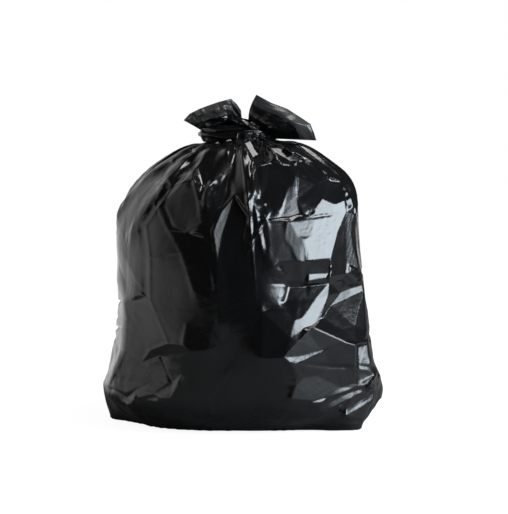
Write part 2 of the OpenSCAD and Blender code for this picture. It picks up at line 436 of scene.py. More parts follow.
def outward(points):
    # the ways in which a grid of film faces
    across = np.roll(points, -1, axis=1) - np.roll(points, 1, axis=1)
    up = np.gradient(points, axis=0)
    normal = np.cross(across, up)
    return normal / np.maximum(np.linalg.norm(normal, axis=2, keepdims=True), tiny)


def alongAcross(x, y, line):
    # the nearest place on a line: its share of the length, and how far off to the left it is
    line = np.asarray(line, float)
    legs = np.linalg.norm(np.diff(line, axis=0), axis=1)
    best = np.full(np.shape(x), np.inf)
    along = np.zeros(np.shape(x))
    across = np.zeros(np.shape(x))
    done = 0.0
    for (ax, ay), (bx, by), leg in zip(line[:-1], line[1:], legs):
        dx, dy = (bx - ax) / leg, (by - ay) / leg
        run = (x - ax) * dx + (y - ay) * dy
        side = (x - ax) * dy - (y - ay) * dx
        held = np.clip(run, 0, leg)
        gap = np.hypot(run - held, side)
        near = gap < best
        best = np.where(near, gap, best)
        along = np.where(near, (done + held) / legs.sum(), along)
        across = np.where(near, np.copysign(gap, side), across)
        done += leg
    return along, across


foldTip = 0.35               # a fold's width at its two ends, as a share of its full width
shortestEnd = 1e-3           # the shortest end, as a share of the fold's length


def foldHeight(x, y, line, left, right, height, ends=(0.25, 0.25)):
    # a fold's height in millimetres: left and right are the widths of its two flanks, in pixels
    along, across = alongAcross(x, y, line)
    begin, end = max(ends[0], shortestEnd), max(ends[1], shortestEnd)
    fade = smooth(along, 0, begin) * (1 - smooth(along, 1 - end, 1))
    width = np.where(across > 0, left, right) * (foldTip + (1 - foldTip) * fade)
    return height * fade * np.clip(1 - np.abs(across) / width, 0, 1)


# Folds on the front, each along a line of the photograph's pixels: the line, the widths of its left
# and right flanks in pixels, as one faces along the line, and its height in millimetres.
frontFolds = {
    "sliverTail": ([(216, 256), (218, 300), (222, 345)], 10, 6, 2.5),
    "crossUp": ([(272, 208), (257, 232), (243, 262)], 3, 3, 1.8),
    "crossDown": ([(254, 198), (258, 232), (265, 262)], 5, 3, 2.4),
    "packedUpper": ([(258, 219), (300, 219), (322, 215), (346, 213)], 2.5, 2.5, -0.8),
    "packedLower": ([(262, 284), (300, 284), (330, 279), (350, 272)], 2.5, 2.5, -0.8),
    "packedSide": ([(304, 240), (305, 300)], 4, 4, -1.0),
    "levelCrease": ([(292, 362), (330, 367), (378, 366)], 3, 3, -0.9),
    "uprightCrease": ([(358, 338), (359, 362), (362, 394)], 3, 3, -0.8),
    "cheek": ([(258, 150), (262, 176), (256, 200)], 7, 10, 2.2),
    "leftCrease": ([(204, 150), (182, 174), (162, 196), (154, 210)], 6, 5, -5.0),
    "leftLine": ([(137, 190), (127, 212), (124, 240)], 6, 5, -1.0),
}

# A small facet on the front, turned as a whole: its corners in the photograph's pixels, degrees to the
# right, degrees up, and the width of its edge in pixels.
frontFacets = {
    "shoulderPatch": ([(170, 161), (176, 154), (190, 148), (193, 151), (184, 158), (174, 162)], 6, 6, 2),
}

# Larger flat facets, which meet along sharp creases: corners in pixels, then where each one mirrors to,
# in degrees round from the camera to the right and degrees above the level, how dull its film is, how
# firmly it takes that turn, and over how many pixels it turns into the film round it.
plates = {
    "hangLeft": ([(293, 186), (289, 187), (285, 200), (282, 217), (290, 217), (292, 200)],
                 49, 15, 0.3, 3, 3),
    "hangRight": ([(296, 176), (297, 186), (297, 200), (300, 214), (290, 217), (292, 200), (293, 186)],
                  57, 16, 0.2, 3, 3),
    "darkUpper": ([(298, 176), (316, 184), (322, 196), (316, 208), (304, 214), (300, 214), (297, 200)],
                  60, 38, 0.0, 1, 3),
    "darkSide": ([(318, 184), (325, 179), (342, 182), (345, 198), (335, 204), (324, 199)],
                 100, 36, 0.0, 1, 3),
    "windowTop": ([(322, 198), (334, 204), (334, 216), (315, 213)], 68, 14, 0.1, 4, 3),
    "windowStrip": ([(344, 200), (346, 212), (338, 231), (334, 216), (334, 204)], 84, 14, 0.1, 4, 3),
    "windowMain": ([(315, 213), (334, 216), (338, 231), (331, 258), (306, 260), (304, 240), (312, 236)],
                   72, 13, 0.0, 4, 3),
    "windowTeeth": ([(291, 221), (303, 219), (315, 213), (312, 236), (304, 240), (298, 236)],
                    50, 14, 0.3, 1, 2),
    "neckDark": ([(256, 168), (268, 164), (290, 166), (296, 176), (289, 187), (284, 202), (262, 200)],
                 36, 40, 0.0, 2, 5),
    "dimLeft": ([(268, 221), (286, 221), (285, 240), (292, 248), (296, 260), (278, 262), (270, 245)],
                37, 8, 0.5, 2, 8),
    "dimRight": ([(286, 221), (291, 221), (298, 236), (304, 240), (306, 262), (296, 260), (292, 248),
                  (285, 240)], 48, 12, 0.4, 2, 4),
    "packedBand": ([(306, 260), (331, 258), (330, 273), (308, 274)], 60, -8, 0.0, 6, 3),
    "packedStrip": ([(308, 274), (330, 273), (326, 279), (314, 283), (308, 284)], 68, 12, 0.0, 4, 3),
    "sidePanel": ([(338, 231), (346, 212), (347, 262), (346, 275), (330, 278), (331, 258)],
                  108, 4, 0.0, 2, 5),
    "blueBelow": ([(302, 287), (330, 283), (316, 300), (303, 318), (299, 300)], 45, 32, 0.0, 4, 3),
    "blueLeft": ([(290, 287), (302, 287), (299, 300), (303, 318), (295, 321), (286, 302)],
                 36, 28, 0.0, 2, 4),
    "bigFacet": ([(295, 321), (303, 318), (316, 300), (331, 284), (329, 296), (314, 326), (304, 329)],
                 66, 13, 0.1, 6, 3),
    "shelfLight": ([(331, 306), (341, 293), (352, 288), (363, 284), (364, 290), (350, 297)],
                   88, 11, 0.3, 6, 3),
    "shelfGap": ([(331, 284), (342, 282), (341, 292), (331, 306), (322, 319), (314, 326), (329, 296)],
                 104, 2, 0.0, 2, 3),
    "blackUpper": ([(331, 306), (350, 297), (355, 326), (343, 330), (322, 319)], 108, 34, 0.0, 4, 3),
    "blackLower": ([(322, 319), (343, 330), (355, 326), (355, 342), (343, 341), (314, 328)],
                   108, 34, 0.0, 4, 3),
    "greyFacet": ([(285, 356), (299, 341), (308, 331), (314, 328), (343, 341), (322, 350), (300, 356)],
                  62, -6, 0.8, 3, 3),
    "shardShade": ([(295, 321), (304, 329), (308, 331), (299, 341), (290, 338)], 50, 32, 0.0, 2, 2),
    "blackLeft": ([(262, 312), (295, 321), (290, 338), (299, 341), (285, 356), (262, 358)],
                  24, 2, 0.0, 1, 7),
    "arc": ([(283, 357), (300, 356), (322, 350), (325, 351), (310, 358), (296, 364), (288, 362)],
            62, 14, 0.0, 7, 3),
    "underArc": ([(296, 364), (310, 358), (325, 351), (343, 341), (355, 344), (355, 365), (330, 367)],
                 50, -12, 0.2, 4, 3),
    "levelPanel": ([(296, 364), (330, 367), (355, 367), (354, 388), (342, 388), (318, 376), (305, 377)],
                   56, -8, 0.4, 1, 6),
    "lowGrey": ([(291, 399), (296, 385), (305, 377), (318, 376), (342, 388), (330, 396), (310, 401)],
                60, -5, 0.9, 2, 4),
    "cornerPanel": ([(330, 396), (342, 388), (354, 388), (364, 392), (350, 398), (322, 413)],
                    74, -5, 0.6, 1, 5),
    "edgeLight": ([(358, 346), (367, 343), (374, 364), (359, 366)], 84, 12, 0.3, 3, 3),
    "edgeGrey": ([(359, 366), (374, 364), (376, 370), (363, 387), (357, 388)], 88, 0, 0.5, 2, 3),
    "smoothLeft": ([(172, 184), (193, 180), (198, 200), (201, 222), (186, 232), (172, 226), (164, 206)],
                   -58, 8, 0.4, 1, 8),
    "panelUpper": ([(158, 208), (168, 230), (180, 252), (150, 258), (146, 226)], -68, 4, 0.6, 1, 10),
    "panelLower": ([(150, 258), (180, 252), (186, 270), (192, 290), (203, 318), (186, 325), (182, 344),
                    (168, 343), (150, 300)], -64, 3, 0.6, 1, 10),
    "panelShade": ([(168, 230), (186, 232), (205, 240), (212, 300), (212, 325), (203, 318), (192, 290),
                    (186, 270), (180, 252)], -28, 4, 0.0, 1, 5),
    "panelFoot": ([(186, 325), (203, 318), (212, 325), (208, 350), (190, 352), (182, 344)],
                  -22, 3, 0.0, 3, 6),
    "leftCheek": ([(126, 304), (150, 300), (168, 343), (150, 350), (136, 322), (128, 318)],
                  -86, 8, 0.5, 1, 8),
    "leftFootUpper": ([(128, 318), (136, 322), (150, 350), (142, 362), (126, 350)], -78, 0, 0.5, 1, 8),
    "footShade": ([(142, 362), (160, 356), (172, 384), (154, 395), (140, 397), (136, 390), (151, 384)],
                  -45, 0, 0.0, 1, 8),
    "leftFootLower": ([(126, 350), (142, 362), (151, 384), (136, 390), (124, 400), (110, 384)],
                      -70, -3, 0.5, 1, 8),
    "sideBlack": ([(350, 297), (364, 290), (366, 330), (358, 344), (355, 342), (355, 326)],
                  110, 2, 0.0, 2, 3),
    "cornerLow": ([(350, 398), (364, 392), (377, 392), (376, 408), (362, 420), (345, 414)],
                  106, -6, 0.3, 1, 3),
    "sideStrip": ([(347, 212), (353, 214), (358, 268), (347, 262)], 100, 8, 0.3, 2, 3),
    "neckLeft": ([(245, 144), (250, 142), (258, 155), (253, 157)], 80, 68, 0.1, 4, 2),
    "neckMiddle": ([(257, 140), (263, 142), (265, 156), (262, 162), (259, 150)], 80, 60, 0.1, 1, 2),
    "neckRight": ([(268, 145), (278, 148), (290, 154), (301, 160), (290, 161), (276, 153)],
                  80, 66, 0.2, 4, 2),
    "neckLine": ([(300, 165), (304, 166), (314, 177), (318, 181), (330, 177), (318, 185), (311, 179)],
                 70, 40, 0.1, 1, 2),
    "sliver": ([(234, 196), (231, 208), (222, 236), (217, 262), (213, 232), (221, 212)],
               52, 13, 0.5, 3, 3),
    "sliverShade": ([(234, 196), (246, 215), (240, 250), (222, 262), (217, 262), (222, 236), (231, 208)],
                    10, 8, 0.0, 1, 3),
}

# Places round and between the plates where the film stays as it settled.
plateAnchors = [
    (120, 170), (150, 158), (196, 160), (206, 190), (110, 215), (116, 262), (115, 300), (103, 350),
    (98, 392), (106, 420), (150, 428), (170, 400), (182, 374), (206, 372), (235, 350), (236, 290),
    (250, 180), (256, 210), (262, 176), (280, 168), (310, 164), (345, 168), (357, 190), (362, 230),
    (363, 270), (366, 310), (372, 335), (384, 366), (386, 395), (376, 418), (330, 430), (280, 424),
    (255, 380), (252, 330), (258, 280), (212, 196), (146, 226), (150, 258), (150, 300),
]

# Broad folds on the front, under the plates.
broadFolds = {
    "shelf": ([(256, 300), (296, 294), (335, 285), (376, 268)], 64, 90, 9.0),
}

# Folds that run out from the bottom corners.
cornerFolds = {
    "rightTop": ([(384, 382), (352, 396), (318, 414)], 5, 4, 3.0),
    "rightMiddle": ([(383, 388), (354, 404), (330, 418)], 4, 3, -1.6),
    "rightLow": ([(380, 396), (352, 412), (334, 424)], 4, 3, 1.4),
    "rightUpper": ([(382, 378), (352, 388), (328, 398)], 3, 4, 2.0),
    "rightSlope": ([(378, 372), (366, 382), (356, 398)], 3, 3, 2.0),
    "rightRise": ([(380, 380), (366, 370), (344, 366)], 4, 3, 1.5),
    "leftRidge": ([(102, 386), (124, 402), (146, 424)], 6, 15, 8.0),
    "leftSlit": ([(128, 403), (148, 410), (170, 418)], 2, 2, -1.0),
}

pixel = 0.00187              # one of the photograph's pixels on the sack, in metres
wholeRound = body["flatRound"] / pixel


def insideGap(x, y, corners):
    # how many pixels inside a facet's outline a place lies, less than 0 outside it
    corners = np.asarray(corners, float)
    inside = np.zeros(x.shape, bool)
    gap = np.full(x.shape, np.inf)
    for (ax, ay), (bx, by) in zip(corners, np.roll(corners, -1, axis=0)):
        dx, dy = bx - ax, by - ay
        inside ^= ((ay > y) != (by > y)) & (x < dx * (y - ay) / (dy or tiny) + ax)
        share = np.clip(((x - ax) * dx + (y - ay) * dy) / (dx ** 2 + dy ** 2), 0, 1)
        gap = np.minimum(gap, np.hypot(x - ax - share * dx, y - ay - share * dy))
    return np.where(inside, gap, -gap)


def facetHeight(x, y, corners, right, up, edge):
    # a flat facet's height in millimetres, which fades out over its edge
    gap = insideGap(x, y, corners)
    middle = np.mean(corners, axis=0)
    plane = (y - middle[1]) * math.tan(math.radians(up)) - (x - middle[0]) * math.tan(math.radians(right))
    return plane * pixel * 1000 * np.clip(0.5 + gap / edge, 0, 1)


# How the plates are laid. Widths are in pixels, and facing is 1 for film that faces the camera.
plateRules = {
    "join": 1.5,             # corners closer than this are one
    "crossing": 1e-4,        # the same for outlines that cross
    "anchorGap": 0.5,        # a corner this close to an anchor is that anchor
    "rim": 1e-6,             # how far outside a triangle a place may lie
    "seen": 0.3,             # facing from which film counts as seen
    "fade": (0.15, 0.4),     # facing over which the plates set in
    "dullFade": (0.0, 0.3),  # and over which their dullness does
    "hold": 0.1,             # how strongly the corners are held to the film's own form
    "anchor": 30.0,          # and the anchors
    "drift": 0.3,            # how strongly the film between two plates keeps its slope
    "soften": 9,             # grid points over which the film between the plates is evened out
    "keep": 0.06,            # share of the film's own relief that stays on a plate
    "wide": 8,               # plates with an edge this wide have no sharp creases inside them either
}


def cornerMesh(groups, anchors):
    # triangles between all the anchors and corners, with the outlines of the groups as edges
    places, edges = list(anchors), []
    for corners in groups:
        ids = []
        for corner in corners:
            near = [i for i, p in enumerate(places) if math.dist(p, corner) < plateRules["join"]]
            ids.append(near[0] if near else len(places))
            if not near:
                places.append(corner)
        edges += [(a, b) for a, b in zip(ids, ids[1:] + ids[:1]) if a != b]
    mesh = delaunay_2d_cdt([Vector(p) for p in places], edges, [], 0, plateRules["crossing"])
    return np.array([tuple(p) for p in mesh[0]]), [list(face) for face in mesh[2] if len(face) == 3]


def slopeToMirror(place, around, above):
    # the slopes to the right and upwards of film that mirrors that way for the camera
    a, e = math.radians(around), math.radians(above)
    way = np.array([math.sin(a) * math.cos(e), -math.cos(a) * math.cos(e), math.sin(e)])
    sight = viewPlace - place
    normal = way + sight / np.linalg.norm(sight)
    return -normal[0] / (normal @ viewBack), -(normal @ viewUp) / (normal @ viewBack)


def turnCorners(corners, faces, places, base):
    # how far each corner comes forward so that the plates face as they should, all in millimetres
    rows, aims = [], []
    for face in faces:
        p = corners[face]
        middle = p.mean(axis=0)
        (ax, ay), (bx, by) = p[1] - p[0], p[2] - p[0]
        area = 0.5 * abs(ax * by - bx * ay)
        slopes = np.linalg.inv(np.column_stack([p * pixel * 1000, np.ones(3)]))[:2]
        own = slopes @ base[face]
        target, weight = own, plateRules["drift"]
        for outline, around, above, dull, firm, edge in plates.values():
            if insideGap(middle[0], middle[1], outline) > 0:
                right, up = slopeToMirror(places[face[0]], around, above)
                target, weight = np.array([right, -up]), firm
        for k in (0, 1):
            row = np.zeros(len(corners))
            row[face] = slopes[k] * weight * math.sqrt(area)
            rows.append(row)
            aims.append((target - own)[k] * weight * math.sqrt(area))
    for i in range(len(corners)):
        row = np.zeros(len(corners))
        fixed = min(math.dist(corners[i], anchor) for anchor in plateAnchors) < plateRules["anchorGap"]
        row[i] = plateRules["anchor" if fixed else "hold"]
        rows.append(row)
        aims.append(0.0)
    return np.linalg.lstsq(np.array(rows), np.array(aims), rcond=None)[0]


def spreadFlat(x, y, facing, away, corners, faces, base, change):
    # the film drawn flat between the corners, and how far the corners' moves bring it forward
    flat = away.copy()
    moved = np.zeros(away.shape)
    for face in faces:
        p = corners[face]
        low, high = p.min(axis=0), p.max(axis=0)
        near = (x >= low[0]) & (x <= high[0]) & (y >= low[1]) & (y <= high[1]) & (facing > 0)
        places = np.stack([x[near], y[near], np.ones(near.sum())])
        shares = np.linalg.inv(np.vstack([p.T, np.ones(3)])) @ places
        inside = (shares > -plateRules["rim"]).all(axis=0)
        index = tuple(i[inside] for i in np.nonzero(near))
        flat[index] = (base[face] + change[face]) @ shares[:, inside]
        moved[index] = change[face] @ shares[:, inside]
    return flat, moved


def plateShares(x, y):
    # how far each place lies on a plate, near one and on a wide-edged one, and how dull it is there
    dullness = np.zeros(x.shape)
    share = np.zeros(x.shape)
    exact = np.zeros(x.shape)
    wide = np.zeros(x.shape)
    for outline, around, above, dull, firm, edge in plates.values():
        gap = insideGap(x, y, outline)
        share = np.maximum(share, smooth(gap, -edge, 0))
        exact = np.maximum(exact, smooth(gap, -2 * edge, 0))
        dullness = np.maximum(dullness, dull * smooth(gap, -edge / 2, edge / 2))
        if edge >= plateRules["wide"]:
            wide = np.maximum(wide, smooth(gap, -edge / 4, edge / 2))
    return share, exact, wide, dullness


def layPlates(points, facing):
    # bends the film on the front into the flat plates, and says how dull it is
    x, y = toPixels(points)
    away = points @ viewBack * 1000
    seen = facing > plateRules["seen"]
    seenX, seenY = x[seen], y[seen]
    corners, faces = cornerMesh([plate[0] for plate in plates.values()], plateAnchors)
    nearest = [int(np.argmin((seenX - cx) ** 2 + (seenY - cy) ** 2)) for cx, cy in corners]
    base = away[seen][nearest]
    change = turnCorners(corners, faces, points[seen][nearest], base)
    flat, moved = spreadFlat(x, y, facing, away, corners, faces, base, change)
    share, exact, wide, dullness = plateShares(x, y)
    even = blurred(moved[..., None], plateRules["soften"])[..., 0]
    evenFlat = blurred(flat[..., None], plateRules["soften"])[..., 0]
    flat += (evenFlat - flat) * wide
    moved += (even - moved) * wide
    moved = even + (moved - even) * exact
    moved += (flat - away - moved) * share * (1 - plateRules["keep"])
    moved *= smooth(facing, *plateRules["fade"])
    print("plates laid, the film moved by up to %.1f mm" % np.abs(moved).max())
    laid = points + viewBack * (moved * 0.001)[..., None]
    return laid, dullness * smooth(facing, *plateRules["dullFade"])


# How the settled film is sharpened, and the folds and facets that lie all round the sack.
relief = {
    "softReach": 14,         # grid points over which the film is softened to find its folds
    "foldGain": 1.25,        # how strongly the settled folds show near the neck
    "lowGain": 0.25,         # and lower down
    "gainHeight": (0.26, 0.44),    # metres over which the one goes over into the other
    "cornerGain": (0.10, 0.15),    # and below which the folds are left as they settled
    "frontEdge": (0.05, 0.3),      # how much film must face the camera to get the folds of the front
    "floorFade": (0.004, 0.03),    # metres above the floor over which all of this sets in
    "seeds": {"gathers": 5, "facets": 21, "corners": 33, "crinkles": 52, "ripples": 71},
    # straight folds that run down from the neck: their number, height in millimetres, length and width
    # in pixels, drift as a share of the length, and what else varies from one to the next
    "gathers": 64,
    "gatherHeight": 2.6,
    "gatherLength": (60, 230),
    "gatherWidth": (4, 13),
    "gatherFlank": (0.5, 1),
    "gatherRise": (0.5, 1.3),
    "gatherDrift": 0.16,
    "gatherStep": 0.35,
    "gatherEnds": (0.0, 0.6),
    "gatherTop": -4,               # how far below the neck they begin, in pixels
    "gatherStart": (0.03, 0.17),   # metres from the middle over which they set in
    # crumples all round, at the bottom corners, and fine: size in pixels and height in millimetres
    "facetSize": 62,
    "facetHeight": 3.0,
    "facetTop": (0.24, 0.4),       # metres above the floor over which they fade out
    "cornerSize": 16,
    "cornerHeight": 1.2,
    "cornerStretch": 2.0,
    "cornerStart": (0.15, 0.24),   # metres to the side of the middle over which they set in
    "cornerTop": (0.08, 0.2),
    # how far the film is drawn in at its outline: height in metres, pixels at the left and at the right
    "drawIn": [(0.07, 0, 0), (0.09, 3.5, 1), (0.11, 5, 4.5), (0.14, 6, 5.5), (0.18, 6.5, 4.5),
               (0.22, 5, 3.5), (0.26, 4, 4.5), (0.32, 2.5, 5), (0.36, 2.5, 3.5), (0.4, 1.8, 0),
               (0.43, 2, -1.2), (0.46, 3, -1.8), (0.48, 2.6, 0), (0.5, 1.4, 1.8), (0.53, 0, 0)],
    "drawReach": 0.235,      # the distance from the middle at which that is the full pull, in metres
    "crinkleSize": 14,
    "crinkleHeight": 0.16,
    # small ripples in the bright panel at the right: middle, half size and their height in millimetres
    "ripples": [((322, 232), (26, 36), 0.24)],
    "rippleSize": 5,
    "rippleEdge": (0.5, 1.0),
    "sideRadius": 0.225,     # of the body where the folds at the sides are measured, in metres
    "calmEdge": (0.6, 1.15),
    # calm places on the front: middle and half size in pixels, and the share of the relief kept
    "calm": [((300, 186), (44, 26), 0.15), ((184, 200), (20, 30), 0.3), ((242, 176), (14, 26), 0.4),
             ((225, 290), (34, 60), 0.3), ((278, 250), (22, 40), 0.4), ((325, 240), (26, 38), 0.2),
             ((142, 205), (24, 34), 0.3), ((214, 166), (20, 18), 0.2), ((192, 162), (30, 20), 0.4)],
}

# Folds on the sides and the back: turn round the sack in degrees (-90 is the front, 180 the left) and
# height in millimetres along each, then the widths of the two flanks and the height in millimetres.
sideFolds = {
    "leftUpper": ([(196, 262), (180, 240), (160, 215)], 9, 9, -6.0),
    "leftMiddle": ([(196, 196), (178, 190), (150, 205)], 10, 8, -6.0),
    "leftLower": ([(198, 150), (182, 158), (166, 180)], 9, 9, -4.5),
    "leftNotch": ([(204, 232), (186, 219), (160, 226)], 5, 6, -6.0),
    "leftDent": ([(206, 186), (188, 171), (165, 176)], 6, 6, -6.0),
    "rightUpper": ([(-20, 262), (0, 282), (18, 300)], 9, 9, -4.0),
    "rightMiddle": ([(-22, 150), (-2, 168), (20, 165)], 9, 12, -5.0),
}


def gathers(filmX, filmY):
    # straight folds that run down from the neck and end at different heights
    draw = np.random.default_rng(relief["seeds"]["gathers"])
    total = np.zeros(filmX.shape)
    count, whole = relief["gathers"], wholeRound
    for i in range(count):
        x = (i + draw.uniform(-relief["gatherStep"], relief["gatherStep"])) / count * whole
        drop = draw.uniform(*relief["gatherLength"])
        drift = draw.uniform(-relief["gatherDrift"], relief["gatherDrift"]) * drop
        width = draw.uniform(*relief["gatherWidth"])
        rise = draw.uniform(*relief["gatherRise"]) * draw.choice([-1, 1])
        away = (filmX - x + whole / 2) % whole - whole / 2
        other = width * draw.uniform(*relief["gatherFlank"])
        line = [(0, relief["gatherTop"]), (drift, drop)]
        total += foldHeight(away, filmY, line, width, other, rise, relief["gatherEnds"])
    return total * relief["gatherHeight"]


def drawnIn(points):
    # brings the film's outline to that of the photograph
    heights, left, right = np.array(relief["drawIn"]).T
    x, z = points[..., 0], points[..., 2]
    pull = np.where(x < 0, np.interp(z, heights, left), np.interp(z, heights, right)) * pixel
    out = points.copy()
    out[..., 0] -= pull * x / relief["drawReach"]
    return out


def filmPlaces(soft):
    # how far each place lies round the film, and down it from the neck, in pixels
    rows, columns = soft.shape[:2]
    filmX = np.broadcast_to(np.arange(columns) / columns * wholeRound, (rows, columns))
    run = np.linalg.norm(np.diff(soft, axis=0), axis=2).mean(axis=1)[::-1] / pixel
    filmY = np.broadcast_to(np.concatenate([[0], np.cumsum(run)])[::-1, None], (rows, columns))
    return filmX, filmY


def calmShare(x, y, front):
    # the share of the relief that the calm places keep
    calm = np.ones(x.shape)
    for (calmX, calmY), (wide, high), keep in relief["calm"]:
        near = 1 - smooth(np.hypot((x - calmX) / wide, (y - calmY) / high), *relief["calmEdge"])
        calm *= 1 - near * front * (1 - keep)
    return calm


def sculpt(points):
    # sharpens the settled folds and adds the ones that the photograph shows
    seeds = relief["seeds"]
    points = drawnIn(points)
    soft = blurred(points, relief["softReach"])
    height = points[..., 2]
    filmX, filmY = filmPlaces(soft)
    reach = np.hypot(soft[..., 0], soft[..., 1])
    low, high = relief["lowGain"], relief["foldGain"]
    gain = low + (high - low) * smooth(height, *relief["gainHeight"])
    gain = gain + (1 - gain) * (1 - smooth(height, *relief["cornerGain"]))
    points = soft + (points - soft) * gain[..., None]
    normal = outward(soft)
    x, y = toPixels(points)
    front = smooth(normal @ viewBack, *relief["frontEdge"])
    calm = calmShare(x, y, front)
    points = soft + (points - soft) * calm[..., None]
    lift = gathers(filmX, filmY) * smooth(reach, *relief["gatherStart"]) * calm
    turn = np.arange(height.shape[1]) * 360 / height.shape[1]
    degree = math.radians(relief["sideRadius"]) * 1000
    for line, left, right, rise in sideFolds.values():
        away = (turn - line[1][0] + 180) % 360 - 180
        around = np.broadcast_to(away * degree, height.shape)
        place = [((a - line[1][0]) * degree, b) for a, b in line]
        lift += foldHeight(around, height * 1000, place, left, right, rise)
    lower = 1 - smooth(height, *relief["facetTop"])
    facets = crumple(filmX, filmY, relief["facetSize"], seeds["facets"])
    lift += facets * relief["facetHeight"] * lower
    for line, left, right, rise in broadFolds.values():
        lift += foldHeight(x, y, line, left, right, rise) * front
    above = smooth(height, *relief["floorFade"])
    points = points + normal * (lift * above * 0.001)[..., None]
    points, dull = layPlates(points, normal @ viewBack)
    corner = smooth(np.abs(soft[..., 0]), *relief["cornerStart"])
    corner = corner * (1 - smooth(height, *relief["cornerTop"]))
    stretched = crumple(filmX, filmY, relief["cornerSize"], seeds["corners"], relief["cornerStretch"])
    lift = stretched * relief["cornerHeight"] * corner
    lift += crumple(filmX, filmY, relief["crinkleSize"], seeds["crinkles"]) * relief["crinkleHeight"]
    for (rippleX, rippleY), (wide, high), rise in relief["ripples"]:
        near = 1 - smooth(np.hypot((x - rippleX) / wide, (y - rippleY) / high), *relief["rippleEdge"])
        lift += crumple(filmX, filmY, relief["rippleSize"], seeds["ripples"]) * rise * near * front
    for group in (frontFolds, cornerFolds):
        for line, left, right, rise in group.values():
            lift += foldHeight(x, y, line, left, right, rise) * front
    for corners, right, up, edge in frontFacets.values():
        lift += facetHeight(x, y, corners, right, up, edge) * front
    return points + normal * (lift * above * 0.001)[..., None], dull


# The knot: bands of the film's own mouth, wrapped round the neck. Each is a loop that lies about
# level. Its middle is a pixel of the photograph; half widths, height and thickness are in metres, and
# its tilt is in degrees.
knot = {
    "bands": {
        "knot_lower": {"middle": (236, 135), "half": (0.068, 0.046), "height": 0.024, "thick": 0.026,
                       "tilt": -2, "grooves": 5, "seed": 3},
        "knot_upper": {"middle": (234, 128), "half": (0.060, 0.042), "height": 0.020, "thick": 0.024,
                       "tilt": 5, "grooves": 4, "seed": 8},
        "knot_cross": {"middle": (246, 125), "half": (0.034, 0.042), "height": 0.020, "thick": 0.022,
                       "tilt": -18, "grooves": 3, "seed": 12},
    },
    "around": 200,
    "section": 64,
    # shares of a band's size: the fuller left end, the grooves, the fine creases and the slow swelling
    "lobe": 0.18,
    "groove": 0.22,
    "crease": 0.10,
    "swell": 0.07,
    "lobeStart": (0.3, 1.0),       # shares of the way out to the left where that end begins and is full
    "wander": (0.25, 0.15, 0.3),   # how far the grooves wander, in radians
    "radii": (0.05, 0.012),        # the rough radius of a loop and of its section, in metres
    "creaseSize": 0.02,            # in metres along the loop
    "creaseStretch": 0.4,          # the same round the section, as a share of that
    "swellSize": 3.0,              # in radians round the section
    "swellQuick": 2,               # the swelling is so many times shorter along the loop
    "sway": 0.0025,          # how far a band rises and falls, in metres
}


def makeBand(name, band):
    # one loop of film round the neck
    along = np.linspace(0, 2 * math.pi, knot["around"] + 1)[:, None]
    section = np.linspace(0, 2 * math.pi, knot["section"], endpoint=False)[None, :]
    middle = fromPixels(*band["middle"], 0.0)
    side = np.stack([np.cos(along), np.sin(along), 0 * along], axis=-1)
    lobe = 1 + knot["lobe"] * smooth(-np.cos(along), *knot["lobeStart"])
    first, second, third = knot["wander"]
    drift = section + first * np.sin(along + band["seed"]) + second * np.sin(3 * along)
    ridge = np.abs(np.sin(drift * band["grooves"] / 2 + third * np.sin(2 * along + band["seed"])))
    alongRadius, roundRadius = knot["radii"]
    fine = crumple(along * alongRadius, section * roundRadius, knot["creaseSize"], band["seed"],
                   knot["creaseStretch"])
    swell = waves(along * knot["swellQuick"], section, knot["swellSize"], band["seed"])
    size = 1 - knot["groove"] * ridge + knot["crease"] * fine + knot["swell"] * swell
    out = np.cos(section) * band["thick"] / 2 * size * lobe
    up = np.sin(section) * band["height"] / 2 * size * lobe
    up = up + knot["sway"] * np.sin(2 * along + band["seed"])
    wide = np.array([band["half"][0] - band["thick"] / 2, band["half"][1] - band["thick"] / 2, 0])
    place = middle + side * wide + side * out[..., None] + np.array([0, 0, 1]) * up[..., None]
    lean = math.tan(math.radians(band["tilt"]))
    place[..., 2] += (place[..., 0] - middle[0]) * lean
    return gridPiece(name, place)


